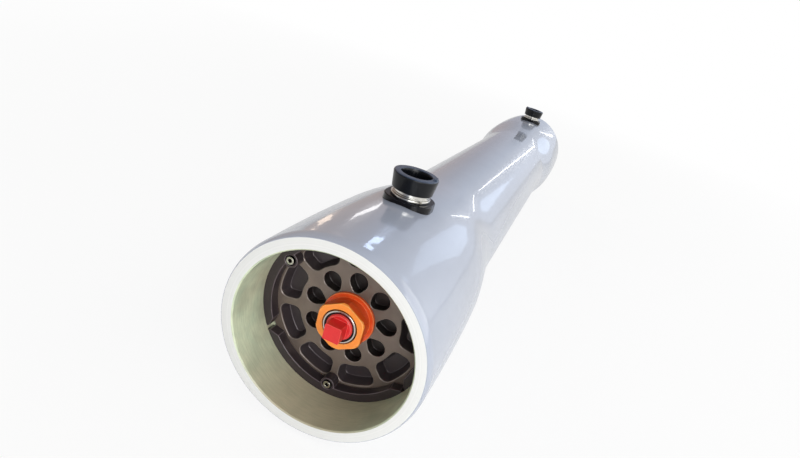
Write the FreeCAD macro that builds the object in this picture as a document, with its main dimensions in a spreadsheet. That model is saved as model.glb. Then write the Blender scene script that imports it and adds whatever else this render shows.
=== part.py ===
import FreeCAD, Part
import math
import os
from types import SimpleNamespace

import Sketcher

# Side port pressure vessel for one eight inch membrane element.
# The row frame has X along the vessel, Z up through the side ports and its origin on the
# bore axis at mid length. Each end is drawn in an end frame: origin at the mouth face,
# X pointing into the vessel. The back end is the same end turned half a turn about Z.

DRIVING_SIZES = [
    ("vessel_length", 1600.0, "shell length from mouth face to mouth face"),
    ("bore_radius", 101.0, "membrane chamber"),
    ("shell_wall", 8.1, "wall of the straight shell"),
    ("head_step", 8.5, "head bore wider than the membrane chamber"),
    ("bell_wall", 18.9, "wall of the bell at its crown, outside the head bore"),
    ("face_drop", 4.3, "crown down to the outer edge of the end face"),
    ("edge_length", 16.0, "rounded edge of the bell beside the end face"),
    ("edge_bulge", 1.0, "how far that rounded edge stands off its chord"),
    ("crown_end", 222.0, "depth at which the crown turns into the shoulder"),
    ("crown_rise", 1.45, "how far the crown stands off its chord"),
    ("knuckle_depth", 347.0, "depth at which the shoulder turns into its cone"),
    ("knuckle_height", 5.6, "height of that place above the straight shell"),
    ("shoulder_bulge", 2.5, "how far the shoulder stands off its chord"),
    ("bell_length", 380.0, "depth at which the straight shell starts"),
    ("mouth_depth", 129.0, "depth of the head bore"),
    ("mouth_chamfer", 1.5, "chamfer at the mouth"),
    ("lead_length", 12.0, "cone between the head bore and the membrane chamber"),
    ("lock_inset", 61.0, "depth of the locking groove"),
    ("lock_thickness", 15.0, "width of the locking groove"),
    ("groove_depth", 4.5, "locking groove below the head bore"),
    ("seat_gap", 0.1, "play between pieces that seat on each other"),
    ("small_chamfer", 0.6, "edges of the band, nut, plug and snap ring"),
    ("seal_chamfer", 0.7, "edges of the rubber rings"),
    ("slide_gap", 0.3, "radial play of plates and segments in the shell"),
    ("thread_gap", 0.15, "radial play where threads mesh"),
    ("lock_reach", 11.5, "locking segments inwards from the head bore"),
    ("lock_split", 6.0, "gap between two locking segments"),
    ("lock_bevel", 9.0, "bevel at the inner corners of a segment"),
    ("screw_inset", 13.5, "circle of the lock screws, inside the head bore"),
    ("ear_radius", 9.5, "round ear of a segment about its screw"),
    ("head_sink_radius", 7.0, "counterbore of a lock screw"),
    ("head_sink_depth", 5.0, "depth of that counterbore"),
    ("screw_radius", 3.0, "lock screw shank"),
    ("screw_grip", 12.0, "length of shank in the bearing plate"),
    ("screw_head_radius", 5.0, "lock screw head"),
    ("screw_head_height", 6.0, "lock screw head"),
    ("key_width", 5.0, "hexagon socket across flats"),
    ("key_depth", 3.0, "hexagon socket depth"),
    ("bearing_thickness", 25.0, "bearing plate"),
    ("plate_chamfer", 1.5, "edge chamfer of both plates"),
    ("sealing_thickness", 25.0, "sealing plate"),
    ("seal_offset", 9.0, "head seal groove behind the front of the sealing plate"),
    ("seal_width", 7.0, "head seal groove width"),
    ("seal_section", 5.0, "head seal height"),
    ("rib_width", 9.5, "rib between two large pockets of the bearing plate"),
    ("pocket_rim", 13.7, "rim of the bearing plate outside the large pockets"),
    ("pocket_corner", 10.0, "corner radius of the large pockets"),
    ("pocket_depth", 15.0, "depth of the large pockets"),
    ("pocket_slope", 4.5, "how far the walls of the large pockets lean in at the floor"),
    ("drop_web", 5.5, "web between a drop pocket and the large pockets"),
    ("drop_gap", 1.0, "drop pockets outside the flange of the permeate nut"),
    ("drop_depth", 14.0, "depth of the drop pockets"),
    ("tube_radius", 22.4, "permeate port outside its thread"),
    ("tube_face", 49.5, "depth of the front end of the permeate port"),
    ("spigot_radius", 19.0, "front spigot of the permeate port"),
    ("spigot_length", 16.5, "length of that spigot"),
    ("band_thickness", 2.1, "stainless band round the spigot"),
    ("band_stand", 1.2, "how far the band stands in front of the port"),
    ("plug_thread_radius", 16.7, "one inch pipe thread of the permeate plug"),
    ("plug_thread_depth", 30.0, "depth of the threaded mouth of the permeate port"),
    ("channel_radius", 12.5, "permeate channel"),
    ("socket_radius", 14.4, "socket for the adapter"),
    ("socket_depth", 38.0, "depth of that socket"),
    ("port_flange_radius", 38.0, "flange of the permeate port behind the sealing plate"),
    ("port_flange_length", 10.0, "thickness of that flange"),
    ("port_tail", 40.0, "length of the permeate port behind its flange"),
    ("tube_seal_section", 3.5, "seal of the permeate port"),
    ("tube_seal_width", 4.8, "groove of that seal"),
    ("nut_flange_radius", 34.0, "round flange of the permeate nut"),
    ("nut_flange_length", 4.0, "thickness of that flange"),
    ("nut_neck_radius", 28.5, "neck of the permeate nut"),
    ("nut_flats", 58.0, "hexagon of the permeate nut across flats"),
    ("nut_corner_radius", 31.8, "turned corners of the hexagon"),
    ("nut_corner_chamfer", 1.5, "front of those corners"),
    ("nut_hex_length", 11.0, "thickness of the hexagon"),
    ("nut_stand", 0.5, "hexagon in front of the permeate port"),
    ("plug_front", 47.0, "depth of the front of the plug's round body"),
    ("plug_body_length", 27.0, "length of that round body"),
    ("plug_taper", 0.6, "how much thinner its inner end is"),
    ("plug_core_radius", 11.5, "hollow in the plug's inner end"),
    ("plug_core_depth", 20.0, "depth of that hollow"),
    ("key_square", 21.0, "square head of the permeate plug"),
    ("key_corner", 2.0, "rounded corners of the square head"),
    ("key_length", 17.0, "length of the square head"),
    ("adapter_radius", 14.2, "spigots of the adapter"),
    ("adapter_reach", 40.0, "length of the spigot that enters the element"),
    ("adapter_collar_radius", 19.0, "stop collar of the adapter"),
    ("adapter_collar_length", 6.0, "stop collar of the adapter"),
    ("adapter_waist_radius", 16.5, "middle of the adapter"),
    ("adapter_bore_radius", 10.5, "bore of the adapter"),
    ("adapter_play", 0.5, "end play of the adapter at each stop"),
    ("ring_section", 2.6, "width of the adapter's seal grooves"),
    ("ring_depth", 1.95, "depth of those grooves"),
    ("ring_inset", 9.0, "seal groove from the end of its spigot"),
    ("element_length", 1016.0, "membrane element that the vessel takes"),
    ("thrust_inset", 5.0, "outside of the thrust ring within the membrane chamber"),
    ("thrust_wall", 8.0, "wall of the thrust ring"),
    ("thrust_rim", 12.0, "solid rim at each end of the thrust ring"),
    ("thrust_lip", 26.0, "how far its element end reaches inwards"),
    ("thrust_window", 62.0, "width of a window in the thrust ring"),
    ("thrust_window_inset", 18.0, "windows from the ends of the thrust ring"),
    ("thrust_window_corner", 12.0, "corner radius of those windows"),
    ("port_inset", 186.0, "side port axis from the mouth face"),
    ("pipe_radius", 24.15, "grooved inch and a half port pipe"),
    ("pipe_wall", 2.75, "wall of the port pipe"),
    ("pipe_stand", 33.9, "port pipe above the crown of the bell"),
    ("pipe_flange_radius", 31.0, "inner flange of the port pipe"),
    ("pipe_flange_length", 6.4, "thickness of that flange"),
    ("port_seat_depth", 16.4, "seat of that flange in the shell below the crown"),
    ("port_seal_radius", 27.8, "middle of the port seal"),
    ("port_seal_width", 3.4, "width of the port seal"),
    ("port_seal_height", 2.4, "height of the port seal"),
    ("coupling_groove_inset", 15.9, "coupling groove below the pipe's top"),
    ("coupling_groove_width", 7.1, "coupling groove"),
    ("coupling_groove_depth", 1.6, "coupling groove"),
    ("saddle_stand", 6.9, "port saddle above the crown of the bell"),
    ("saddle_length", 58.0, "port saddle along the vessel"),
    ("saddle_width", 66.0, "port saddle across the vessel"),
    ("saddle_corner", 24.0, "corner radius of the port saddle"),
    ("saddle_rim", 2.6, "width of the raised collar round the pipe"),
    ("saddle_rim_height", 1.2, "height of that collar"),
    ("saddle_chamfer", 1.2, "chamfer of the saddle's top edge"),
    ("clip_thickness", 2.5, "snap ring of the port pipe"),
    ("clip_radius", 26.3, "outside of the snap ring"),
    ("clip_groove_depth", 1.9, "snap ring groove"),
    ("clip_split", 7.0, "gap of the snap ring"),
    ("cap_stand", 3.4, "port cap above the top of its pipe"),
    ("cap_height", 21.7, "height of the port cap"),
    ("cap_rim_radius", 29.8, "port cap at its top"),
    ("cap_skirt_radius", 27.2, "port cap at its lower edge"),
    ("cap_roof", 3.2, "thickness of the cap's top rim"),
    ("cap_recess_radius", 20.0, "recess of the cap at its mouth"),
    ("cap_cup_wall", 1.6, "wall of the cap's inner cup"),
    ("cap_cup_draft", 0.7, "how much narrower the cup is at its floor"),
    ("cap_cup_depth", 26.2, "depth of the recess"),
    ("cap_grip_gap", 0.25, "play between cap and pipe"),
    ("cap_edge", 2.4, "rounding of the cap's rim"),
    ("lug_length", 10.0, "pull lug on the cap's rim"),
    ("lug_width", 5.0, "pull lug on the cap's rim"),
    ("lug_height", 1.8, "pull lug on the cap's rim"),
]

POCKET_COUNT = 9
LOCK_COUNT = 3
WINDOW_COUNT = 6
LARGE_POCKET_SHARE = 0.4634
DROP_WIDE_SHARE = 0.434
DROP_NARROW_SHARE = 0.245
CLIP_TURN = 225
LUG_TURN = -80
UP = FreeCAD.Vector(0, 0, 1)
ALONG = FreeCAD.Vector(1, 0, 0)

doc = FreeCAD.newDocument("MembraneVessel")
sheet = doc.addObject("Spreadsheet::Sheet", "Sizes")
for row, (alias, value, meaning) in enumerate(DRIVING_SIZES, start=1):
    sheet.set(f"A{row}", meaning)
    sheet.set(f"B{row}", str(value))
    sheet.setAlias(f"B{row}", alias)
doc.recompute()


class Length:
    """A size that knows its present value and the formula that ties it to the sheet."""

    def __init__(self, formula, number):
        self.formula = formula
        self.number = number

    def __add__(self, other):
        other = as_length(other)
        return Length(f"({self.formula} + {other.formula})", self.number + other.number)

    def __sub__(self, other):
        other = as_length(other)
        return Length(f"({self.formula} - {other.formula})", self.number - other.number)

    def __mul__(self, other):
        other = as_length(other)
        return Length(f"({self.formula} * {other.formula})", self.number * other.number)

    def __truediv__(self, other):
        other = as_length(other)
        return Length(f"({self.formula} / {other.formula})", self.number / other.number)

    def __neg__(self):
        return Length(f"(0 - {self.formula})", -self.number)


def as_length(value):
    """Turn a bare number into a Length."""
    if isinstance(value, Length):
        return value
    return Length(f"({value:.10f})", float(value))


def root(value):
    """Square root of a Length."""
    return Length(f"sqrt({value.formula})", math.sqrt(value.number))


def magnitude(value):
    """Length without its sign."""
    return Length(f"abs({value.formula})", abs(value.number))


def cell(alias):
    """The Length that a cell of the sheet holds."""
    return Length("Sizes." + alias, float(sheet.get(alias)))


size = SimpleNamespace(**{alias: cell(alias) for alias, value, meaning in DRIVING_SIZES})
zero = as_length(0.0)


def new_body(label):
    """An empty body whose label is the name of its node."""
    body = doc.addObject("PartDesign::Body", label)
    body.Label = label
    return body


def origin_feature(body, role):
    """One of the body's own origin planes or axes."""
    return next(feature for feature in body.Origin.OriginFeatures if feature.Role == role)


def new_sketch(body, name, role, offset=zero):
    """A sketch on an origin plane of the body, moved along the plane's normal."""
    sketch = body.newObject("Sketcher::SketchObject", f"{body.Label}_{name}")
    sketch.AttachmentSupport = [(origin_feature(body, role), "")]
    sketch.MapMode = "FlatFace"
    sketch.setExpression("AttachmentOffset.Base.z", offset.formula)
    return sketch


def bind(sketch, constraints):
    """Add constraints given as (kind, arguments, Length) and tie each to its formula."""
    made = [Sketcher.Constraint(kind, *places, length.number) for kind, places, length in constraints]
    for index, (kind, places, length) in zip(sketch.addConstraint(made), constraints):
        sketch.setExpression(f"Constraints[{index}]", length.formula)


def arc_radius(start, end, bulge):
    """Radius of the arc from start to end that stands off its chord by bulge."""
    run = end[0] - start[0]
    rise = end[1] - start[1]
    chord_squared = run * run + rise * rise
    return magnitude((chord_squared / 4 + bulge * bulge) / (bulge * 2))


def bulge_of(start, end, radius):
    """How far the short arc of this radius from start to end stands off its chord."""
    run = end[0] - start[0]
    rise = end[1] - start[1]
    return radius - root(radius * radius - (run * run + rise * rise) / 4)


def arc_geometry(start, end, bulge):
    """Arc from start to end; it stands to the left of its chord where bulge is positive."""
    run = end[0].number - start[0].number
    rise = end[1].number - start[1].number
    chord = math.hypot(run, rise)
    height = abs(bulge.number)
    side = 1.0 if bulge.number > 0 else -1.0
    radius = (chord * chord / 4 + height * height) / (2 * height)
    left = (-rise / chord, run / chord)
    middle_x = (start[0].number + end[0].number) / 2 - side * left[0] * (radius - height)
    middle_y = (start[1].number + end[1].number) / 2 - side * left[1] * (radius - height)
    first, last = (end, start) if side > 0 else (start, end)
    first_angle = math.atan2(first[1].number - middle_y, first[0].number - middle_x)
    last_angle = math.atan2(last[1].number - middle_y, last[0].number - middle_x)
    circle = Part.Circle(FreeCAD.Vector(middle_x, middle_y, 0), UP, radius)
    return Part.ArcOfCircle(circle, first_angle, last_angle)


def draw_outline(sketch, corners):
    """Closed outline through the corners, each (x, y) or (x, y, bulge).

    A bulge makes the side that ends at its corner an arc.
    """
    first = sketch.GeometryCount
    ends = []
    radii = []
    for index, start in enumerate(corners):
        corner = corners[(index + 1) % len(corners)]
        place = first + index
        if len(corner) == 2:
            start_point = FreeCAD.Vector(start[0].number, start[1].number, 0)
            end_point = FreeCAD.Vector(corner[0].number, corner[1].number, 0)
            sketch.addGeometry(Part.LineSegment(start_point, end_point), False)
            ends.append((1, 2))
        else:
            bulge = corner[2]
            sketch.addGeometry(arc_geometry(start, corner, bulge), False)
            ends.append((2, 1) if bulge.number > 0 else (1, 2))
            radii.append(("Radius", (place,), arc_radius(start, corner, bulge)))
    joints = []
    places = []
    for index, corner in enumerate(corners):
        before = (index - 1) % len(corners)
        joints.append(
            Sketcher.Constraint(
                "Coincident", first + before, ends[before][1], first + index, ends[index][0]
            )
        )
        places.append(("DistanceX", (-1, 1, first + index, ends[index][0]), corner[0]))
        places.append(("DistanceY", (-1, 1, first + index, ends[index][0]), corner[1]))
    sketch.addConstraint(joints)
    bind(sketch, places + radii)


def draw_circle(sketch, across, up, radius):
    """Circle tied to its centre and radius."""
    place = sketch.GeometryCount
    centre = FreeCAD.Vector(across.number, up.number, 0)
    sketch.addGeometry(Part.Circle(centre, UP, radius.number), False)
    bind(
        sketch,
        [
            ("DistanceX", (-1, 1, place, 3), across),
            ("DistanceY", (-1, 1, place, 3), up),
            ("Radius", (place,), radius),
        ],
    )


def quarter_rise(radius):
    """How far a quarter circle stands off its chord."""
    return radius * (1 - math.sqrt(0.5))


def rounded_rectangle(half_across, half_up, corner):
    """Corners of a rectangle about the origin whose corners are quarter circles."""
    bulge = -quarter_rise(corner)
    flat_across = half_across - corner
    flat_up = half_up - corner
    return [
        (half_across, -flat_up, bulge),
        (half_across, flat_up),
        (flat_across, half_up, bulge),
        (-flat_across, half_up),
        (-half_across, flat_up, bulge),
        (-half_across, -flat_up),
        (-flat_across, -half_up, bulge),
        (flat_across, -half_up),
    ]


def hexagon(flats):
    """Corners of a hexagon with two flats that stand upright."""
    reach = flats / math.sqrt(3)
    return [
        (
            reach * math.cos(math.radians(30 + 60 * index)),
            reach * math.sin(math.radians(30 + 60 * index)),
        )
        for index in range(6)
    ]


def turned_hexagon(flats, corner_radius):
    """Hexagon with two upright flats, its corners turned down to a radius."""
    half = flats / 2
    side = root(corner_radius * corner_radius - half * half)
    corners = []
    for index in range(6):
        cosine = math.cos(math.radians(60 * index))
        sine = math.sin(math.radians(60 * index))
        start = (half * cosine + side * sine, half * sine - side * cosine)
        end = (half * cosine - side * sine, half * sine + side * cosine)
        if index == 0:
            first = start
            corners.append(start)
        else:
            corners.append((*start, -bulge_of(corners[-1], start, corner_radius)))
        corners.append(end)
    corners[0] = (*first, -bulge_of(corners[-1], first, corner_radius))
    return corners


def turned_feature(kind, body, name, corners, axis):
    """Turn a profile, drawn along the body's X and up its Z, round one of its axes."""
    sketch = new_sketch(body, name + "_profile", "XZ_Plane")
    draw_outline(sketch, corners)
    turned = body.newObject("PartDesign::" + kind, f"{body.Label}_{name}")
    turned.Profile = sketch
    turned.ReferenceAxis = (sketch, [axis])
    turned.Angle = 360
    return turned


def revolve(body, name, corners, axis="H_Axis"):
    """Add a turned solid to the body."""
    return turned_feature("Revolution", body, name, corners, axis)


def groove(body, name, corners, axis="H_Axis"):
    """Cut a turned profile out of the body."""
    return turned_feature("Groove", body, name, corners, axis)


def pad(body, name, sketch, length):
    """Raise a sketch along its plane's normal."""
    raised = body.newObject("PartDesign::Pad", f"{body.Label}_{name}")
    raised.Profile = sketch
    raised.setExpression("Length", length.formula)
    return raised


def pocket(body, name, sketch, depth):
    """Cut a sketch along its plane's normal."""
    cut = body.newObject("PartDesign::Pocket", f"{body.Label}_{name}")
    cut.Profile = sketch
    cut.Reversed = True
    cut.setExpression("Length", depth.formula)
    return cut


def sloped_pocket(body, name, mouth, floor):
    """Cut a pocket whose walls run from the outline at its mouth to the one at its floor."""
    cut = body.newObject("PartDesign::SubtractiveLoft", f"{body.Label}_{name}")
    cut.Profile = mouth
    cut.Sections = [floor]
    cut.Ruled = True
    return cut


def repeat(body, name, features, count, axis="X_Axis"):
    """Repeat features round one of the body's axes."""
    pattern = body.newObject("PartDesign::PolarPattern", f"{body.Label}_{name}")
    pattern.Originals = features
    pattern.Axis = (origin_feature(body, axis), [""])
    pattern.Angle = 360
    pattern.Occurrences = count
    body.Tip = pattern
    return pattern


HALF_LENGTH = size.vessel_length / 2
ENDS = {"front": -1, "back": 1}
PORTS = {"feed": "front", "concentrate": "back"}


def place_at(body, side, inset, turn=0.0, about=ALONG):
    """Place a body drawn in the end frame: side -1 is the front end, 1 the back end."""
    facing = FreeCAD.Rotation(UP, 0 if side < 0 else 180)
    spin = FreeCAD.Rotation(about, turn)
    body.Placement = FreeCAD.Placement(FreeCAD.Vector(), facing.multiply(spin))
    along = (HALF_LENGTH - inset) * side
    body.setExpression("Placement.Base.x", along.formula)


# Sizes that several pieces share, worked out once from the driving sizes.
shell_radius = size.bore_radius + size.shell_wall
mouth_radius = size.bore_radius + size.head_step
bell_radius = mouth_radius + size.bell_wall
crown_edge_radius = bell_radius - size.crown_rise
knuckle_radius = shell_radius + size.knuckle_height
groove_radius = mouth_radius + size.groove_depth
lock_inner_radius = mouth_radius - size.lock_reach
screw_circle = mouth_radius - size.screw_inset
lock_back = size.lock_inset + size.lock_thickness
plate_radius = mouth_radius - size.slide_gap
pocket_outer = plate_radius - size.pocket_rim
pocket_inner = pocket_outer - (pocket_outer - size.nut_flange_radius) * LARGE_POCKET_SHARE
drop_start = size.nut_flange_radius + size.drop_gap
drop_end = pocket_inner - size.drop_web
drop_far_radius = (drop_end - drop_start) * DROP_WIDE_SHARE
drop_near_radius = (drop_end - drop_start) * DROP_NARROW_SHARE
bearing_back = lock_back + size.bearing_thickness
sealing_front = bearing_back + size.seat_gap
sealing_back = sealing_front + size.sealing_thickness
tube_hole_radius = size.tube_radius + size.thread_gap
port_flange_front = sealing_back + size.seat_gap
port_flange_back = port_flange_front + size.port_flange_length
port_tail_end = port_flange_back + size.port_tail
element_depth = (size.vessel_length - size.element_length) / 2
adapter_start = port_tail_end - size.socket_depth + size.adapter_play
adapter_end = element_depth + size.adapter_reach
inner_ring_start = adapter_start + size.ring_inset
outer_ring_start = adapter_end - size.ring_inset - size.ring_section
ring_floor = size.adapter_radius - size.ring_depth
thrust_radius = size.bore_radius - size.thrust_inset
port_seat = bell_radius - size.port_seat_depth
pipe_top = bell_radius + size.pipe_stand
saddle_top = bell_radius + size.saddle_stand
cap_top = pipe_top + size.cap_stand
pipe_bore_radius = size.pipe_radius - size.pipe_wall
clip_bottom = saddle_top + size.seat_gap
clip_top = clip_bottom + size.clip_thickness
clip_seat_radius = size.pipe_radius - size.clip_groove_depth
cap_bottom = cap_top - size.cap_height


def mirrored(corners):
    """The corners of an outline along the vessel, seen from its other end and reversed.

    A bulge belongs to the side that ends at its corner, so it moves to that side's other end.
    """
    places = [(size.vessel_length - corner[0], corner[1]) for corner in corners]
    bulges = [corner[2:] for corner in corners[1:]] + [()]
    return [(*place, *bulge) for place, bulge in zip(places, bulges)][::-1]


def bell_outline():
    """Outside of one end of the shell, from its mouth face to the straight tube."""
    return [
        (zero, bell_radius - size.face_drop),
        (size.edge_length, crown_edge_radius, size.edge_bulge),
        (size.crown_end, crown_edge_radius, size.crown_rise),
        (size.knuckle_depth, knuckle_radius, size.shoulder_bulge),
        (size.bell_length, shell_radius),
    ]


def build_shell():
    """Filament wound shell: a straight tube whose ends swell into thick bells."""
    body = new_body("shell")
    outside = [(zero, mouth_radius + size.mouth_chamfer), *bell_outline()]
    inside = [
        (size.mouth_chamfer, mouth_radius),
        (size.lock_inset, mouth_radius),
        (size.lock_inset, groove_radius),
        (lock_back, groove_radius),
        (lock_back, mouth_radius),
        (size.mouth_depth, mouth_radius),
        (size.mouth_depth + size.lead_length, size.bore_radius),
    ]
    far_inside = [(size.vessel_length - x, r) for x, r in inside]
    revolve(body, "wall", outside + mirrored(outside) + far_inside + inside[::-1])
    stations = {"feed": size.port_inset, "concentrate": size.vessel_length - size.port_inset}
    for port, station in stations.items():
        seat = new_sketch(body, port + "_seat_outline", "XY_Plane")
        draw_circle(seat, station, zero, size.pipe_flange_radius + size.slide_gap)
        pocket(body, port + "_seat", seat, port_seat)
        hole = new_sketch(body, port + "_hole_outline", "XY_Plane")
        draw_circle(hole, station, zero, size.pipe_radius + size.slide_gap)
        pocket(body, port + "_hole", hole, bell_radius + size.saddle_rim)
    body.setExpression("Placement.Base.x", (-HALF_LENGTH).formula)


def build_bearing_plate(end, side):
    """Anodised bearing plate: a thick disc lightened by drop pockets and sloped pockets."""
    body = new_body(end + "_bearing_plate")
    chamfer = size.plate_chamfer
    revolve(
        body,
        "disc",
        [
            (lock_back, tube_hole_radius),
            (lock_back, plate_radius - chamfer),
            (lock_back + chamfer, plate_radius),
            (bearing_back - chamfer, plate_radius),
            (bearing_back, plate_radius - chamfer),
            (bearing_back, tube_hole_radius),
        ],
    )
    mouth = new_sketch(body, "large_mouth", "YZ_Plane", lock_back)
    draw_outline(mouth, large_pocket_corners(zero))
    floor = new_sketch(body, "large_floor", "YZ_Plane", lock_back + size.pocket_depth)
    draw_outline(floor, large_pocket_corners(size.pocket_slope))
    large_cut = sloped_pocket(body, "large_pocket", mouth, floor)
    repeat(body, "large_pockets", [large_cut], POCKET_COUNT)
    drop = new_sketch(body, "drop_outline", "YZ_Plane", lock_back)
    draw_outline(drop, drop_pocket_corners())
    drop_cut = pocket(body, "drop_pocket", drop, size.drop_depth)
    repeat(body, "drop_pockets", [drop_cut], POCKET_COUNT)
    tapped = new_sketch(body, "tapped_outline", "YZ_Plane", lock_back)
    draw_circle(tapped, zero, -screw_circle, size.screw_radius + size.seat_gap)
    tapped_depth = size.screw_grip + size.screw_radius
    tapped_cut = pocket(body, "tapped_hole", tapped, tapped_depth)
    repeat(body, "tapped_holes", [tapped_cut], LOCK_COUNT)
    place_at(body, side, zero)


def large_pocket_corners(inset):
    """Outline of a large pocket: two arcs about the axis, two rib sides, four round corners.

    At its floor the whole outline lies inset from the one at its mouth.
    """
    half_pitch = math.radians(180 / POCKET_COUNT)
    rib = (math.sin(half_pitch), math.cos(half_pitch))
    inwards = (-rib[1], rib[0])
    half_rib = size.rib_width / 2 + inset
    corner = size.pocket_corner - inset
    clear = half_rib + corner
    inner = pocket_inner + inset
    outer = pocket_outer - inset

    def from_rib(along, away):
        return (along * rib[0] + away * inwards[0], along * rib[1] + away * inwards[1])

    outer_reach = outer - corner
    inner_reach = inner + corner
    outer_along = root(outer_reach * outer_reach - clear * clear)
    inner_along = root(inner_reach * inner_reach - clear * clear)
    outer_scale = outer / outer_reach
    inner_scale = inner / inner_reach
    right = [
        from_rib(inner_along * inner_scale, clear * inner_scale),
        from_rib(inner_along, half_rib),
        from_rib(outer_along, half_rib),
        from_rib(outer_along * outer_scale, clear * outer_scale),
    ]
    left = [(-across, up) for across, up in reversed(right)]
    rounding = -bulge_of(right[0], right[1], corner)
    outer_rounding = -bulge_of(right[2], right[3], corner)
    return [
        (*right[0], bulge_of(left[3], right[0], inner)),
        (*right[1], rounding),
        right[2],
        (*right[3], outer_rounding),
        (*left[0], -bulge_of(right[3], left[0], outer)),
        (*left[1], outer_rounding),
        left[2],
        (*left[3], rounding),
    ]


def drop_pocket_corners():
    """Outline of a drop pocket: a wide and a narrow round end joined by their tangents."""
    far = drop_end - drop_far_radius
    near = drop_start + drop_near_radius
    lean = (drop_far_radius - drop_near_radius) / (far - near)
    level = root(as_length(1.0) - lean * lean)
    far_side = (drop_far_radius * level, far - drop_far_radius * lean)
    near_side = (drop_near_radius * level, near - drop_near_radius * lean)
    far_bulge = -(drop_far_radius * (lean + 1))
    near_bulge = -(drop_near_radius * (as_length(1.0) - lean))
    return [
        far_side,
        (-far_side[0], far_side[1], far_bulge),
        (-near_side[0], near_side[1]),
        (*near_side, near_bulge),
    ]


def build_sealing_plate(end, side):
    """Moulded sealing plate with a groove round its edge for the head seal."""
    body = new_body(end + "_sealing_plate")
    chamfer = size.plate_chamfer
    groove_start = sealing_front + size.seal_offset
    groove_end = groove_start + size.seal_width
    floor = mouth_radius - size.seal_section
    tube_groove_start = sealing_back - size.seal_offset - size.tube_seal_width
    tube_groove_end = sealing_back - size.seal_offset
    tube_floor = size.tube_radius + size.tube_seal_section
    revolve(
        body,
        "disc",
        [
            (sealing_front, tube_hole_radius),
            (sealing_front, plate_radius - chamfer),
            (sealing_front + chamfer, plate_radius),
            (groove_start, plate_radius),
            (groove_start, floor),
            (groove_end, floor),
            (groove_end, plate_radius),
            (sealing_back - chamfer * 2, plate_radius),
            (sealing_back, plate_radius - chamfer * 2),
            (sealing_back, tube_hole_radius),
            (tube_groove_end, tube_hole_radius),
            (tube_groove_end, tube_floor),
            (tube_groove_start, tube_floor),
            (tube_groove_start, tube_hole_radius),
        ],
    )
    place_at(body, side, zero)


def seal_ring(body, name, start, end, inner_radius, outer_radius):
    """Squeezed rubber ring between two depths, its four edges taken off."""
    edge = size.seal_chamfer
    revolve(
        body,
        name,
        [
            (start, inner_radius + edge),
            (start, outer_radius - edge),
            (start + edge, outer_radius),
            (end - edge, outer_radius),
            (end, outer_radius - edge),
            (end, inner_radius + edge),
            (end - edge, inner_radius),
            (start + edge, inner_radius),
        ],
    )


def build_head_seal(end, side):
    """Rubber seal between the sealing plate and the head bore."""
    body = new_body(end + "_head_seal")
    start = sealing_front + size.seal_offset + size.seat_gap
    end_depth = start + size.seal_width - size.seat_gap * 2
    inner = mouth_radius - size.seal_section + size.seat_gap
    seal_ring(body, "ring", start, end_depth, inner, mouth_radius - size.seat_gap)
    place_at(body, side, zero)


def build_permeate_port_seal(end, side):
    """Rubber seal between the permeate port and the sealing plate."""
    body = new_body(end + "_permeate_port_seal")
    end_depth = sealing_back - size.seal_offset - size.seat_gap
    start = end_depth - size.tube_seal_width + size.seat_gap * 2
    outer = size.tube_radius + size.tube_seal_section - size.seat_gap
    seal_ring(body, "ring", start, end_depth, size.tube_radius + size.seat_gap, outer)
    place_at(body, side, zero)


def build_permeate_port(end, side):
    """Moulded permeate port: threaded tube through both plates, held by an inner flange."""
    body = new_body(end + "_permeate_port")
    thread_radius = size.plug_thread_radius + size.thread_gap
    thread_end = size.tube_face + size.plug_thread_depth
    socket_start = port_tail_end - size.socket_depth
    step = size.tube_radius - size.spigot_radius
    spigot_end = size.tube_face + size.spigot_length
    edge = size.plate_chamfer
    revolve(
        body,
        "tube",
        [
            (size.tube_face, thread_radius),
            (size.tube_face, size.spigot_radius),
            (spigot_end, size.spigot_radius),
            (spigot_end, size.tube_radius),
            (port_flange_front, size.tube_radius),
            (port_flange_front, size.port_flange_radius),
            (port_flange_back - edge, size.port_flange_radius),
            (port_flange_back, size.port_flange_radius - edge),
            (port_flange_back, size.tube_radius),
            (port_tail_end - step, size.tube_radius),
            (port_tail_end, size.tube_radius - edge),
            (port_tail_end, size.socket_radius + edge),
            (port_tail_end - edge, size.socket_radius),
            (socket_start, size.socket_radius),
            (socket_start, size.channel_radius),
            (thread_end, size.channel_radius),
            (thread_end, thread_radius),
        ],
    )
    place_at(body, side, zero)


def build_permeate_band(end, side):
    """Stainless band that keeps the mouth of the permeate port from splitting."""
    body = new_body(end + "_permeate_band")
    inner = size.spigot_radius + size.seat_gap
    outer = inner + size.band_thickness
    front = size.tube_face - size.band_stand
    back = size.tube_face + size.spigot_length - size.seat_gap
    edge = size.small_chamfer
    revolve(
        body,
        "band",
        [
            (front, inner),
            (front, outer - edge),
            (front + edge, outer),
            (back, outer),
            (back, inner),
        ],
    )
    place_at(body, side, zero)


def build_permeate_nut(end, side):
    """Moulded nut that draws the permeate port against the plates."""
    body = new_body(end + "_permeate_nut")
    bore = size.tube_radius + size.thread_gap
    front = size.tube_face - size.nut_stand
    seat = lock_back - size.seat_gap
    flange_front = seat - size.nut_flange_length
    neck_front = front + size.nut_hex_length / 2
    edge = size.small_chamfer
    revolve(
        body,
        "flange",
        [
            (neck_front, bore),
            (neck_front, size.nut_neck_radius),
            (flange_front, size.nut_neck_radius),
            (flange_front, size.nut_flange_radius - edge),
            (flange_front + edge, size.nut_flange_radius),
            (seat, size.nut_flange_radius),
            (seat, bore),
        ],
    )
    face = new_sketch(body, "hexagon_outline", "YZ_Plane", front)
    draw_outline(face, turned_hexagon(size.nut_flats, size.nut_corner_radius))
    draw_circle(face, zero, zero, bore)
    pad(body, "hexagon", face, size.nut_hex_length)
    chamfer = size.nut_corner_chamfer
    inside = size.nut_corner_radius - chamfer
    outside = size.nut_corner_radius + chamfer
    groove(body, "corners", [(front, inside), (front, outside), (front + chamfer * 2, outside)])
    place_at(body, side, zero)


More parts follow.
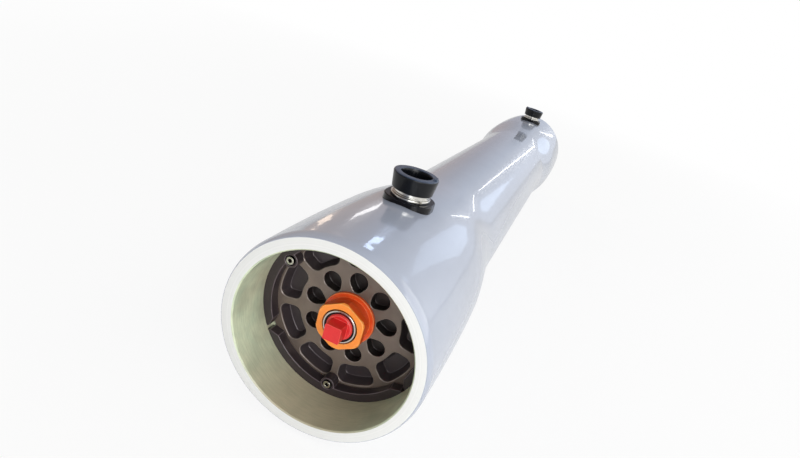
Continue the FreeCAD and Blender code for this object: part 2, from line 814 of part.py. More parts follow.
def build_permeate_plug(end, side):
    """Red moulded pipe plug with a square head."""
    body = new_body(end + "_permeate_plug")
    front = size.plug_front
    back = front + size.plug_body_length
    edge = size.plate_chamfer
    tip = size.plug_thread_radius - size.plug_taper
    revolve(
        body,
        "body",
        [
            (front, zero),
            (front, size.plug_thread_radius - edge),
            (front + edge, size.plug_thread_radius),
            (back - edge, tip),
            (back, tip - edge),
            (back, size.plug_core_radius),
            (back - size.plug_core_depth, size.plug_core_radius - size.plug_taper),
            (back - size.plug_core_depth, zero),
        ],
    )
    head = new_sketch(body, "square_outline", "YZ_Plane", front - size.key_length)
    half = size.key_square / 2
    draw_outline(head, rounded_rectangle(half, half, size.key_corner))
    pad(body, "square_head", head, size.key_length)
    place_at(body, side, zero)


def build_adapter(end, side):
    """Turned adapter that joins the permeate port to the core tube of the element."""
    body = new_body(end + "_adapter")
    stop = port_tail_end + size.adapter_play
    stop_end = stop + size.adapter_collar_length
    collar_back = element_depth - size.adapter_play
    collar_front = collar_back - size.adapter_collar_length
    edge = size.plate_chamfer
    revolve(
        body,
        "tube",
        [
            (adapter_start, size.adapter_bore_radius),
            (adapter_start, size.adapter_radius - edge),
            (adapter_start + edge, size.adapter_radius),
            *ring_groove(inner_ring_start),
            (stop, size.adapter_radius),
            (stop, size.adapter_collar_radius),
            (stop_end, size.adapter_collar_radius),
            (stop_end, size.adapter_waist_radius),
            (collar_front, size.adapter_waist_radius),
            (collar_front, size.adapter_collar_radius),
            (collar_back, size.adapter_collar_radius),
            (collar_back, size.adapter_radius),
            *ring_groove(outer_ring_start),
            (adapter_end - edge, size.adapter_radius),
            (adapter_end, size.adapter_radius - edge),
            (adapter_end, size.adapter_bore_radius),
        ],
    )
    place_at(body, side, zero)


def ring_groove(start):
    """Four corners of a seal groove in a spigot of the adapter."""
    end = start + size.ring_section
    return [
        (start, size.adapter_radius),
        (start, ring_floor),
        (end, ring_floor),
        (end, size.adapter_radius),
    ]


def build_adapter_seals(end, side):
    """The adapter's two seal rings, one on each spigot."""
    body = new_body(end + "_adapter_seals")
    inner_radius = ring_floor + size.seat_gap
    outer_radius = size.adapter_radius + size.seat_gap
    for name, start in (("inner", inner_ring_start), ("outer", outer_ring_start)):
        ring_start = start + size.seat_gap
        ring_end = start + size.ring_section - size.seat_gap
        seal_ring(body, name, ring_start, ring_end, inner_radius, outer_radius)
    place_at(body, side, zero)


def build_lock_segments(end, side):
    """Three moulded segments that fill the locking groove and hold the head in."""
    for number in range(LOCK_COUNT):
        body = new_body(f"{end}_lock_segment_{number + 1}")
        front = size.lock_inset + size.seat_gap
        outline = new_sketch(body, "outline", "YZ_Plane", front)
        draw_outline(outline, lock_segment_corners())
        pad(body, "arc", outline, size.lock_thickness - size.seat_gap * 2)
        sink = new_sketch(body, "sink_outline", "YZ_Plane", front)
        draw_circle(sink, zero, screw_circle, size.head_sink_radius)
        pocket(body, "sink", sink, size.head_sink_depth)
        hole = new_sketch(body, "hole_outline", "YZ_Plane", front)
        draw_circle(hole, zero, screw_circle, size.screw_radius + size.slide_gap)
        pocket(body, "hole", hole, size.lock_thickness)
        place_at(body, side, zero, (180 + number * 360) / LOCK_COUNT)


def lock_segment_corners():
    """Outline of a locking segment: bevelled ends and a round ear about the screw."""
    half_pitch = math.radians(180 / LOCK_COUNT)
    outer = groove_radius - size.slide_gap
    inner = lock_inner_radius
    half_split = size.lock_split / 2
    bevel_away = half_split + size.lock_bevel

    def from_split(reach, away):
        along = root(reach * reach - away * away)
        across = along * math.sin(half_pitch) - away * math.cos(half_pitch)
        return (across, along * math.cos(half_pitch) + away * math.sin(half_pitch))

    outer_end = from_split(outer, half_split)
    inner_end = from_split(inner + size.lock_bevel, half_split)
    bevel_end = from_split(inner, bevel_away)
    centre = screw_circle
    ear = size.ear_radius
    ear_height = (inner * inner + centre * centre - ear * ear) / (centre * 2)
    ear_half = root(inner * inner - ear_height * ear_height)
    ear_side = (ear_half, ear_height)
    inner_rise = bulge_of(ear_side, bevel_end, inner)
    return [
        outer_end,
        (-outer_end[0], outer_end[1], outer_end[1] - outer),
        (-inner_end[0], inner_end[1]),
        (-bevel_end[0], bevel_end[1]),
        (-ear_half, ear_height, inner_rise),
        (*ear_side, -(ear_height - centre + ear)),
        (*bevel_end, inner_rise),
        inner_end,
    ]


def build_lock_screws(end, side):
    """Three socket head cap screws that tie the segments to the bearing plate."""
    body = new_body(end + "_lock_screws")
    seat = size.lock_inset + size.head_sink_depth
    head_front = seat - size.screw_head_height
    stop = seat - size.head_sink_depth + size.lock_thickness + size.screw_grip
    head = new_sketch(body, "head_outline", "YZ_Plane", head_front)
    draw_circle(head, zero, -screw_circle, size.screw_head_radius)
    head_pad = pad(body, "head", head, size.screw_head_height)
    shank = new_sketch(body, "shank_outline", "YZ_Plane", head_front)
    draw_circle(shank, zero, -screw_circle, size.screw_radius)
    shank_pad = pad(body, "shank", shank, stop - head_front)
    socket = new_sketch(body, "socket_outline", "YZ_Plane", head_front)
    raised = [(across, up - screw_circle) for across, up in hexagon(size.key_width)]
    draw_outline(socket, raised)
    socket_cut = pocket(body, "socket", socket, size.key_depth)
    repeat(body, "screws", [head_pad, shank_pad, socket_cut], LOCK_COUNT)
    place_at(body, side, zero)


def build_thrust_ring():
    """Moulded thrust ring that keeps the element off the back head, with flow windows."""
    body = new_body("thrust_ring")
    front = sealing_back + size.seat_gap
    back = element_depth - size.seat_gap
    inner = thrust_radius - size.thrust_wall
    revolve(
        body,
        "wall",
        [
            (front, inner - size.thrust_wall),
            (front, thrust_radius),
            (back, thrust_radius),
            (back, inner - size.thrust_lip),
            (back - size.thrust_rim, inner - size.thrust_lip),
            (back - size.thrust_rim, inner),
            (front + size.thrust_rim, inner),
            (front + size.thrust_rim, inner - size.thrust_wall),
        ],
    )
    middle = (front + back) / 2
    half_window = (back - front) / 2 - size.thrust_window_inset
    window = new_sketch(body, "window_outline", "XY_Plane")
    corners = rounded_rectangle(half_window, size.thrust_window / 2, size.thrust_window_corner)
    shifted = [(corner[0] + middle, *corner[1:]) for corner in corners]
    draw_outline(window, shifted)
    cut = pocket(body, "window", window, thrust_radius)
    repeat(body, "windows", [cut], WINDOW_COUNT)
    place_at(body, ENDS["back"], zero)


def build_port_pipe(port, side):
    """Stainless port pipe: flanged inside the shell, grooved for a coupling outside."""
    body = new_body(port + "_port_pipe")
    seat = port_seat - size.seat_gap
    flange_bottom = seat - size.pipe_flange_length
    seal_half = size.port_seal_width / 2
    groove_top = pipe_top - size.coupling_groove_inset
    groove_bottom = groove_top - size.coupling_groove_width
    coupling_radius = size.pipe_radius - size.coupling_groove_depth
    revolve(
        body,
        "pipe",
        [
            (pipe_bore_radius, flange_bottom),
            (pipe_bore_radius, pipe_top),
            (size.pipe_radius, pipe_top),
            (size.pipe_radius, groove_top),
            (coupling_radius, groove_top),
            (coupling_radius, groove_bottom),
            (size.pipe_radius, groove_bottom),
            (size.pipe_radius, clip_top + size.seat_gap),
            (clip_seat_radius, clip_top + size.seat_gap),
            (clip_seat_radius, saddle_top),
            (size.pipe_radius, saddle_top),
            (size.pipe_radius, seat),
            (size.port_seal_radius - seal_half, seat),
            (size.port_seal_radius - seal_half, seat - size.port_seal_height),
            (size.port_seal_radius + seal_half, seat - size.port_seal_height),
            (size.port_seal_radius + seal_half, seat),
            (size.pipe_flange_radius, seat),
            (size.pipe_flange_radius, flange_bottom),
        ],
        "V_Axis",
    )
    place_at(body, side, size.port_inset)


def build_port_seal(port, side):
    """Rubber seal in the flange of the port pipe."""
    body = new_body(port + "_port_seal")
    half = size.port_seal_width / 2 - size.seat_gap
    inner = size.port_seal_radius - half
    outer = size.port_seal_radius + half
    top = port_seat - size.seat_gap / 2
    bottom = port_seat - size.port_seal_height
    edge = size.seal_chamfer
    revolve(
        body,
        "ring",
        [
            (inner, bottom),
            (inner, top - edge),
            (inner + edge, top),
            (outer - edge, top),
            (outer, top - edge),
            (outer, bottom),
        ],
        "V_Axis",
    )
    place_at(body, side, size.port_inset)


def build_port_saddle(port, side):
    """Moulded saddle that fits the crown of the bell and carries the snap ring."""
    body = new_body(port + "_port_saddle")
    block_top = saddle_top - size.saddle_rim_height
    block = new_sketch(body, "block_outline", "XY_Plane", port_seat)
    half_length = size.saddle_length / 2
    half_width = size.saddle_width / 2
    draw_outline(block, rounded_rectangle(half_length, half_width, size.saddle_corner))
    raised = pad(body, "block", block, block_top - port_seat)
    doc.recompute()
    chamfer = body.newObject("PartDesign::Chamfer", body.Label + "_chamfer")
    chamfer.Base = (raised, edge_names_at(raised.Shape, block_top.number))
    chamfer.setExpression("Size", size.saddle_chamfer.formula)
    collar = new_sketch(body, "collar_outline", "XY_Plane", port_seat)
    draw_circle(collar, zero, zero, size.pipe_radius + size.saddle_rim)
    pad(body, "collar", collar, saddle_top - port_seat)
    seat = [
        (along - size.port_inset, away + size.seat_gap, *bulge)
        for along, away, *bulge in bell_outline()
    ]
    groove(body, "bell_seat", [(seat[0][0], zero), *seat, (seat[-1][0], zero)])
    hole = new_sketch(body, "hole_outline", "XY_Plane")
    draw_circle(hole, zero, zero, size.pipe_radius + size.slide_gap)
    pocket(body, "hole", hole, cap_top)
    place_at(body, side, size.port_inset)


def edge_names_at(shape, height):
    """Names of the edges of a shape that lie at this height."""
    names = []
    for number, edge in enumerate(shape.Edges, start=1):
        box = edge.BoundBox
        if abs(box.ZMin - height) < 0.01 and abs(box.ZMax - height) < 0.01:
            names.append(f"Edge{number}")
    return names


def build_port_clip(port, side):
    """Split stainless snap ring in the pipe's groove, on top of the saddle."""
    body = new_body(port + "_port_clip")
    inner = clip_seat_radius + size.seat_gap
    edge = size.small_chamfer
    revolve(
        body,
        "ring",
        [
            (inner, clip_bottom),
            (inner, clip_top),
            (size.clip_radius - edge, clip_top),
            (size.clip_radius, clip_top - edge),
            (size.clip_radius, clip_bottom),
        ],
        "V_Axis",
    )
    split = new_sketch(body, "split_outline", "XY_Plane", clip_bottom - size.seat_gap)
    half = size.clip_split / 2
    reach = size.clip_radius + size.clip_thickness
    draw_outline(split, [(zero, -half), (reach, -half), (reach, half), (zero, half)])
    pocket(body, "split", split, size.clip_thickness + size.seat_gap * 2)
    place_at(body, side, size.port_inset, CLIP_TURN, UP)


def build_port_cap(port, side):
    """Moulded shipping cap: a skirt outside the pipe and a deep cup inside it."""
    body = new_body(port + "_port_cap")
    roof = cap_top - size.cap_roof
    skirt_inner = size.pipe_radius + size.cap_grip_gap
    cup_outer = pipe_bore_radius - size.cap_grip_gap
    cup_floor = cap_top - size.cap_cup_depth
    recess_floor_radius = cup_outer - size.cap_cup_wall - size.cap_cup_draft
    edge = size.cap_edge
    revolve(
        body,
        "shell",
        [
            (zero, cup_floor - size.cap_cup_wall),
            (zero, cup_floor),
            (recess_floor_radius, cup_floor),
            (size.cap_recess_radius, roof),
            (size.cap_recess_radius + edge / 2, cap_top),
            (size.cap_rim_radius - edge, cap_top),
            (size.cap_rim_radius, cap_top - edge, quarter_rise(edge)),
            (size.cap_skirt_radius, cap_bottom),
            (skirt_inner, cap_bottom),
            (skirt_inner, roof),
            (cup_outer, roof),
            (cup_outer - size.cap_cup_draft, cup_floor - size.cap_cup_wall),
        ],
        "V_Axis",
    )
    lug = new_sketch(body, "lug_outline", "XY_Plane", cap_top - size.cap_roof / 2)
    middle = size.cap_rim_radius - size.lug_width / 2 - edge
    half = size.lug_length / 2
    near = middle - size.lug_width / 2
    far = middle + size.lug_width / 2
    draw_outline(lug, [(near, -half), (far, -half), (far, half), (near, half)])
    pad(body, "lug", lug, size.lug_height + size.cap_roof / 2)
    place_at(body, side, size.port_inset, LUG_TURN, UP)


build_shell()
for end_name, end_side in ENDS.items():
    build_bearing_plate(end_name, end_side)
    build_sealing_plate(end_name, end_side)
    build_head_seal(end_name, end_side)
    build_permeate_port_seal(end_name, end_side)
    build_permeate_port(end_name, end_side)
    build_permeate_band(end_name, end_side)
    build_permeate_nut(end_name, end_side)
    build_permeate_plug(end_name, end_side)
    build_adapter(end_name, end_side)
    build_adapter_seals(end_name, end_side)
    build_lock_segments(end_name, end_side)
    build_lock_screws(end_name, end_side)
build_thrust_ring()
for port_name, port_end in PORTS.items():
    build_port_pipe(port_name, ENDS[port_end])
    build_port_seal(port_name, ENDS[port_end])
    build_port_saddle(port_name, ENDS[port_end])
    build_port_clip(port_name, ENDS[port_end])
    build_port_cap(port_name, ENDS[port_end])

doc.recompute()
for item in doc.Objects:
    if "Invalid" in item.State or "Error" in item.State:
        raise RuntimeError(f"{item.Label} failed: {item.State}")

os.makedirs("parts", exist_ok=True)
nodes = [item for item in doc.Objects if item.TypeId == "PartDesign::Body"]
for node in nodes:
    if node.Shape.isNull() or not node.Shape.isValid():
        raise RuntimeError(f"{node.Label} has no valid shape")
    node.Shape.exportStep(f"parts/{node.Label}.step")
    print(node.Label, len(node.Shape.Solids), round(node.Shape.Volume / 1000, 2), "cm3")
print(len(nodes), "nodes")
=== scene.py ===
import math

import bmesh
import bpy
import numpy as np
from mathutils import Matrix, Vector


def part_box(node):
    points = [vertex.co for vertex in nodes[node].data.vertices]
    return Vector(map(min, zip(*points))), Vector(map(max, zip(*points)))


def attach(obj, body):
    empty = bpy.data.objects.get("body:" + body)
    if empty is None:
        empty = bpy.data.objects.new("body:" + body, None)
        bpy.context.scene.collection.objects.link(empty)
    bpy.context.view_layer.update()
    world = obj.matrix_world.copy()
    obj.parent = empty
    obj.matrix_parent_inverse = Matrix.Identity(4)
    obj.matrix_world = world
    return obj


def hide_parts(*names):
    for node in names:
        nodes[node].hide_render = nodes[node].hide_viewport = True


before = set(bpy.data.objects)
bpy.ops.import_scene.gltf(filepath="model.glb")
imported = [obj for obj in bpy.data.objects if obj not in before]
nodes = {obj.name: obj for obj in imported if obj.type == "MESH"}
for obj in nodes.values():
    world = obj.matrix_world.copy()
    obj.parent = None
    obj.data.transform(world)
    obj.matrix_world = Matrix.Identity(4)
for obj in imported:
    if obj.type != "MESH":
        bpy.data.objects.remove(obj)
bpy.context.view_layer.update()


# Shell: glass rovings wound in epoxy over a mandrel, with a thick bell wound over each end.
# The mouths are turned, the outside is sprayed with glossy paint and the bore stays bare resin.
MM = 0.001
ENDS = {"front": -1, "back": 1}
half_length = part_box("shell")[1].x
port_station = (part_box("feed_port_pipe")[0].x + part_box("feed_port_pipe")[1].x) / 2 + half_length
face_radius = 124.1 * MM
lip_ease = 0.8 * MM
lip_bow = 1.0 * MM
crown_start = 16.0 * MM
crown_end = 222.0 * MM
crown_edge_radius = 126.95 * MM
crown_rise = 1.45 * MM
hollow_end = 425.0 * MM
straight_radius = 109.1 * MM
mouth_radius = 109.5 * MM
mouth_chamfer = 1.5 * MM
groove_front = 61.0 * MM
groove_back = 76.0 * MM
groove_radius = 114.0 * MM
mouth_depth = 129.0 * MM
cone_end = 141.0 * MM
bore_radius = 101.0 * MM
pipe_hole_radius = 24.45 * MM
pipe_seat_radius = 31.3 * MM
pipe_seat_height = 112.0 * MM
shell_sectors = 224
drill_sectors = 96
sharp_turn = math.radians(32)


def linear(hex_colour):
    """An sRGB hex colour as linear red, green, blue and alpha."""
    parts = [int(hex_colour[i:i + 2], 16) / 255 for i in (1, 3, 5)]
    return tuple(p / 12.92 if p <= 0.04045 else ((p + 0.055) / 1.055) ** 2.4 for p in parts) + (1.0,)


def add(tree, kind, inputs=None, **settings):
    """One node with its settings, its values and the links that come into it."""
    node = tree.nodes.new(kind)
    for name, value in settings.items():
        setattr(node, name, value)
    for key, value in (inputs or {}).items():
        if isinstance(value, bpy.types.NodeSocket):
            tree.links.new(value, node.inputs[key])
        else:
            node.inputs[key].default_value = value
    return node


def new_material(name, **shader_values):
    """A material with one Principled shader, and the object coordinates that its patterns read."""
    material = bpy.data.materials.new(name)
    material.use_nodes = True
    tree = material.node_tree
    shader = tree.nodes["Principled BSDF"]
    for key, value in shader_values.items():
        shader.inputs[key.replace("_", " ")].default_value = value
    place = add(tree, "ShaderNodeTexCoord").outputs["Object"]
    return material, tree, shader, place


def mottled(tree, place, size, detail, dark, light):
    """Two tones that run into each other in clouds about as wide as size."""
    cloud = add(tree, "ShaderNodeTexNoise", {"Vector": place, "Scale": 1 / size, "Detail": detail})
    tone = add(tree, "ShaderNodeMix", {0: cloud.outputs["Fac"], 6: linear(dark), 7: linear(light)},
               data_type="RGBA")
    return tone.outputs[2]


def coloured(tree, shader, tone, height, strength, depth):
    """The tone as the shader's colour, with bumps up to depth where the height pattern rises."""
    bump = add(tree, "ShaderNodeBump", {"Height": height, "Strength": strength, "Distance": depth})
    tree.links.new(tone, shader.inputs["Base Color"])
    tree.links.new(bump.outputs["Normal"], shader.inputs["Normal"])
    return bump.outputs["Normal"]


def bowed(start, end, rise, count):
    """Points from start to end, without start, on a parabola that stands off its chord by rise."""
    along = np.linspace(0, 1, count + 1)[1:, None]
    chord = np.subtract(end, start)
    aside = np.array([-chord[1], chord[0]]) / np.hypot(*chord)
    return (np.array(start) + along * chord + 4 * rise * along * (1 - along) * aside).tolist()


def eased(start, end, slope, count):
    """Points from start to end, without start, on half a cosine wave that leaves start at a slope.

    The wave is level at both ends. The slope comes from a cubic that is 0 at both ends and level
    at the last one.
    """
    share = np.linspace(0, 1, count + 1)[1:]
    run = end[0] - start[0]
    radius = (end[1] + (start[1] - end[1]) * (1 + np.cos(math.pi * share)) / 2
              + slope * run * share * (1 - share) ** 2)
    return np.column_stack((start[0] + run * share, radius)).tolist()


def grid_faces(rows, columns, wrap_rows):
    """Quads between neighbouring points of a grid whose columns close on themselves."""
    last = rows if wrap_rows else rows - 1
    row, column = np.meshgrid(np.arange(last), np.arange(columns), indexing="ij")
    next_row = (row + 1) % rows
    next_column = (column + 1) % columns
    corners = (row * columns + column, row * columns + next_column,
               next_row * columns + next_column, next_row * columns + column)
    return np.stack(corners, axis=-1).reshape(-1, 4)


def settle(mesh):
    """Merge doubles, point every face outwards and shade smooth between sharp edges."""
    work = bmesh.new()
    work.from_mesh(mesh)
    bmesh.ops.remove_doubles(work, verts=work.verts, dist=0.004 * MM)
    bmesh.ops.recalc_face_normals(work, faces=work.faces)
    work.to_mesh(mesh)
    work.free()
    mesh.polygons.foreach_set("use_smooth", [True] * len(mesh.polygons))
    mesh.set_sharp_from_angle(angle=sharp_turn)
    return mesh


def turned(name, profile, place, sectors, closed):
    """A profile of depths and radii carried round an axis, joined end to start where it is closed.

    place puts depth, radius and angle, given as whole arrays, into X, Y and Z.
    """
    depth, radius = np.array(profile)[:, 0, None], np.array(profile)[:, 1, None]
    angle = np.arange(sectors)[None, :] * 2 * math.pi / sectors
    points = np.stack(place(depth + 0 * angle, radius + 0 * angle, angle + 0 * depth), axis=-1)
    mesh = bpy.data.meshes.new(name)
    faces = grid_faces(len(profile), sectors, closed)
    mesh.from_pydata(points.reshape(-1, 3).tolist(), [], faces.tolist())
    return mesh


def about_bore(depth, radius, angle):
    """About the bore: X runs in from the front mouth by the depth, Y and Z go round the circle."""
    return depth - half_length, radius * np.cos(angle), radius * np.sin(angle)


def about_port(side):
    """About a side port: Z is the height above the bore's axis, X and Y go round the circle."""
    def place(height, radius, angle):
        centre = side * (half_length - port_station)
        return centre + radius * np.cos(angle), radius * np.sin(angle), height
    return place


def add_piece(name, mesh, body, materials, node):
    """A mesh with its materials, as a piece that rides on a body and stands for a CAD node."""
    for material in materials:
        mesh.materials.append(material)
    piece = bpy.data.objects.new(name, mesh)
    bpy.context.scene.collection.objects.link(piece)
    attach(piece, body)
    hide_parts(node)
    return piece


def polyurethane_paint():
    """Sprayed two pack paint, lavender grey and wet looking.

    Fine orange peel lies over the slow waves that the winding leaves, and bends every reflection.
    """
    material, tree, shader, place = new_material("polyurethane_paint", Roughness=0.2, IOR=1.5,
                                                 Coat_Weight=0.7, Coat_Roughness=0.03)
    peel = add(tree, "ShaderNodeTexNoise", {"Vector": place, "Scale": 1 / (5 * MM), "Detail": 1.0})
    waves = add(tree, "ShaderNodeTexNoise", {"Vector": place, "Scale": 1 / (40 * MM), "Detail": 1.0})
    wave_height = 15.0
    height = add(tree, "ShaderNodeMath", {0: waves.outputs["Fac"], 1: wave_height, 2: peel.outputs["Fac"]},
                 operation="MULTIPLY_ADD")
    tone = mottled(tree, place, 160 * MM, 3.0, "#9BA1AF", "#AEB5C4")
    normal = coloured(tree, shader, tone, height.outputs[0], strength=0.3, depth=0.05 * MM)
    tree.links.new(normal, shader.inputs["Coat Normal"])
    return material


def from_axis(tree, place):
    """Each point's distance from the bore's axis."""
    across = add(tree, "ShaderNodeVectorMath", {0: place, 1: (0.0, 1.0, 1.0)}, operation="MULTIPLY")
    distance = add(tree, "ShaderNodeVectorMath", {0: across.outputs[0]}, operation="LENGTH")
    return distance.outputs["Value"]


def primed_face():
    """Turned end of the laminate under white primer: nearly matt, with faint rings of its layers."""
    material, tree, shader, place = new_material("primed_face", Roughness=0.5)
    layer = 1.6 * MM
    count = add(tree, "ShaderNodeMath", {0: from_axis(tree, place), 1: 1 / layer}, operation="MULTIPLY")
    layers = add(tree, "ShaderNodeTexNoise", {"W": count.outputs[0], "Scale": 1.0}, noise_dimensions="1D")
    tone = add(tree, "ShaderNodeMix", {0: layers.outputs["Fac"], 6: linear("#E1E2DF"), 7: linear("#ECECEA")},
               data_type="RGBA")
    coloured(tree, shader, tone.outputs[2], layers.outputs["Fac"], strength=0.2, depth=0.1 * MM)
    return material


def wound_laminate():
    """Bare epoxy and glass seen from inside: cloudy olive resin over fine hoop wound rovings.

    It turns brown where the resin is thick, in patches, and more so towards the bottom.
    """
    material, tree, shader, place = new_material("wound_laminate", Roughness=0.34, IOR=1.52)
    roving = 1.6 * MM
    streaks_per_radian = 5.0
    axes = add(tree, "ShaderNodeSeparateXYZ", {"Vector": place})
    angle = add(tree, "ShaderNodeMath", {0: axes.outputs["Z"], 1: axes.outputs["Y"]}, operation="ARCTAN2")
    along = add(tree, "ShaderNodeMath", {0: axes.outputs["X"], 1: 1 / roving}, operation="MULTIPLY")
    around = add(tree, "ShaderNodeMath", {0: angle.outputs[0], 1: streaks_per_radian}, operation="MULTIPLY")
    unrolled = add(tree, "ShaderNodeCombineXYZ", {"X": along.outputs[0], "Y": around.outputs[0]})
    rovings = add(tree, "ShaderNodeTexNoise", {"Vector": unrolled.outputs[0], "Scale": 1.0, "Detail": 3.0})

    cloud = add(tree, "ShaderNodeTexNoise", {"Vector": place, "Scale": 1 / (30 * MM), "Detail": 5.0})
    spread = add(tree, "ShaderNodeMapRange", {
        "Value": cloud.outputs["Fac"], "From Min": 0.35, "From Max": 0.65})
    resin = add(tree, "ShaderNodeMix", {
        0: spread.outputs["Result"], 6: linear("#C0CFB4"), 7: linear("#E0E8CA")}, data_type="RGBA")

    patch = add(tree, "ShaderNodeTexNoise", {"Vector": place, "Scale": 1 / (70 * MM), "Detail": 2.0})
    thick = add(tree, "ShaderNodeMapRange", {
        "Value": patch.outputs["Fac"], "From Min": 0.45, "From Max": 0.7, "To Max": 0.6})
    # The brown grows towards the bottom of the bore.
    towards_bottom = add(tree, "ShaderNodeMapRange", {
        "Value": axes.outputs["Z"], "From Min": -50 * MM, "From Max": -105 * MM, "To Max": 0.7})
    brown = add(tree, "ShaderNodeMath", {0: thick.outputs["Result"], 1: towards_bottom.outputs["Result"]},
                operation="MAXIMUM")
    stained = add(tree, "ShaderNodeMix", {
        0: brown.outputs[0], 6: resin.outputs[2], 7: linear("#AE9A82")}, data_type="RGBA")

    share = add(tree, "ShaderNodeMapRange", {
        "Value": rovings.outputs["Fac"], "From Min": 0.4, "From Max": 0.7, "To Max": 0.3})
    fibres = add(tree, "ShaderNodeMix", {
        0: share.outputs["Result"], 6: stained.outputs[2], 7: linear("#8B9074")}, data_type="RGBA")
    coloured(tree, shader, fibres.outputs[2], rovings.outputs["Fac"], strength=0.3, depth=0.12 * MM)
    return material


def shell_outside():
    """Depths and radii of one bell: its eased lip, its crown and the hollow down to the straight shell.

    The crown is a parabola, so it ends with a slope of 4 times its rise over its length.
    """
    lip = (0.0, face_radius)
    crown_near = (crown_start, crown_edge_radius)
    crown_far = (crown_end, crown_edge_radius)
    crown_slope = -4 * crown_rise / (crown_end - crown_start)
    return ([(0.0, face_radius - lip_ease), (0.25 * lip_ease, face_radius - 0.25 * lip_ease)]
            + bowed(lip, crown_near, lip_bow, count=6)
            + bowed(crown_near, crown_far, crown_rise, count=28)
            + eased(crown_far, (hollow_end, straight_radius), crown_slope, count=44))


def shell_inside():
    """Depths and radii of the mouth, the locking groove and the cone down to the bore."""
    return [(0.0, mouth_radius + mouth_chamfer), (mouth_chamfer, mouth_radius), (groove_front, mouth_radius),
            (groove_front, groove_radius), (groove_back, groove_radius), (groove_back, mouth_radius),
            (mouth_depth, mouth_radius), (cone_end, bore_radius)]


def mirrored(profile):
    """The same profile at the far end, in reverse order."""
    return [(2 * half_length - depth, radius) for depth, radius in profile[::-1]]


def build_shell():
    """One closed skin round both bells and the bore, painted outside, primed at the faces, bare inside."""
    outside = shell_outside()
    inside = shell_inside()
    profile = outside + mirrored(outside) + mirrored(inside)[::-1] + inside[::-1]
    mesh = turned("shell_skin", profile, about_bore, shell_sectors, True)
    painted, primed, bare = 0, 1, 2
    far_face = len(outside) * 2 - 1
    near_face = len(profile) - 1
    finish = np.full(len(profile), bare)
    finish[:far_face] = painted
    finish[[far_face, near_face]] = primed
    mesh.polygons.foreach_set("material_index", np.repeat(finish, shell_sectors).astype(np.int32))
    return mesh


def drill_port_seats(piece):
    """Cut the hole and the flange seat of each side port out of the shell."""
    below = 90.0 * MM
    above = 140.0 * MM
    seat = [(below, 0.0), (below, pipe_seat_radius), (pipe_seat_height, pipe_seat_radius),
            (pipe_seat_height, pipe_hole_radius), (above, pipe_hole_radius), (above, 0.0)]
    for side in ENDS.values():
        drill_mesh = settle(turned("drill", seat, about_port(side), drill_sectors, False))
        drill = bpy.data.objects.new("drill", drill_mesh)
        bpy.context.scene.collection.objects.link(drill)
        cut = piece.modifiers.new("port_seat", "BOOLEAN")
        cut.object = drill
        cut.solver = "EXACT"
        bpy.context.view_layer.update()
        cut_piece = piece.evaluated_get(bpy.context.evaluated_depsgraph_get())
        drilled = bpy.data.meshes.new_from_object(cut_piece)
        piece.modifiers.clear()
        piece.data = drilled
        bpy.data.objects.remove(drill)


shell = add_piece("shell_skin", settle(build_shell()), "vessel",
                  [polyurethane_paint(), primed_face(), wound_laminate()], "shell")
drill_port_seats(shell)


# Sealing plates with their seals, adapters and thrust ring: the hidden inner parts. The plates,
# adapters and ring are moulded or turned in plastic, and the seals are moulded ethylene rubber.
def grained(tree, shader, place, tone, grain, strength, depth):
    """The tone, with a random grain pressed into the surface.

    Real grain and tool marks are finer than the render shows, so they are drawn 0.5 mm wide or more.
    """
    spots = add(tree, "ShaderNodeTexNoise", {"Vector": place, "Scale": 1 / grain, "Detail": 2.0})
    coloured(tree, shader, tone, spots.outputs["Fac"], strength, depth)


def moulded_plastic(name, dark, light, roughness, grain, ior=1.5):
    """Moulded plastic: two close tones that keep it from looking flat, and the grain of its mould."""
    material, tree, shader, place = new_material(name, Roughness=roughness, IOR=ior)
    tone = mottled(tree, place, 22 * MM, 4.0, dark, light)
    grained(tree, shader, place, tone, grain, strength=0.2, depth=0.1 * MM)
    return material


def give(material, *names):
    """Put a material in the slots of CAD nodes whose shape stays."""
    for name in names:
        nodes[name].data.materials.clear()
        nodes[name].data.materials.append(material)


# The plates and the ring are a dull charcoal, acetal is a waxy bone white, rubber is black and matt.
polypropylene_plate = moulded_plastic("polypropylene_plate", "#1C1C1F", "#26262A", 0.5, 0.8 * MM)
turned_acetal = moulded_plastic("acetal_turned", "#C9C8C0", "#D6D5CE", 0.4, 0.5 * MM)
glass_filled_ring = moulded_plastic("glass_filled_ring", "#222226", "#2E2E33", 0.55, 1.0 * MM)
ethylene_rubber = moulded_plastic("ethylene_rubber", "#0C0C0D", "#151516", 0.7, 0.6 * MM)
for end in ENDS:
    give(polypropylene_plate, end + "_sealing_plate")
    give(turned_acetal, end + "_adapter")
    give(ethylene_rubber, end + "_head_seal", end + "_permeate_port_seal", end + "_adapter_seals")
give(glass_filled_ring, "thrust_ring")
give(ethylene_rubber, "feed_port_seal", "concentrate_port_seal")


# Bearing plates: aluminium, milled with nine drop pockets and nine sloped ones to save weight, then
# hard anodised to a taupe. A paler painted highlight runs along its edges. The segments lock each in its
# mouth.
def smooth_copy(node):
    """A copy of a CAD node with its doubles merged, shaded smooth between its sharp edges."""
    mesh = nodes[node].data.copy()
    mesh.materials.clear()
    work = bmesh.new()
    work.from_mesh(mesh)
    bmesh.ops.remove_doubles(work, verts=work.verts, dist=0.002 * MM)
    bmesh.ops.dissolve_limit(work, angle_limit=math.radians(0.5), verts=work.verts, edges=work.edges)
    work.to_mesh(mesh)
    work.free()
    mesh.polygons.foreach_set("use_smooth", [True] * len(mesh.polygons))
    mesh.set_sharp_from_angle(angle=sharp_turn)
    mesh.name = node + "_finished"
    return mesh


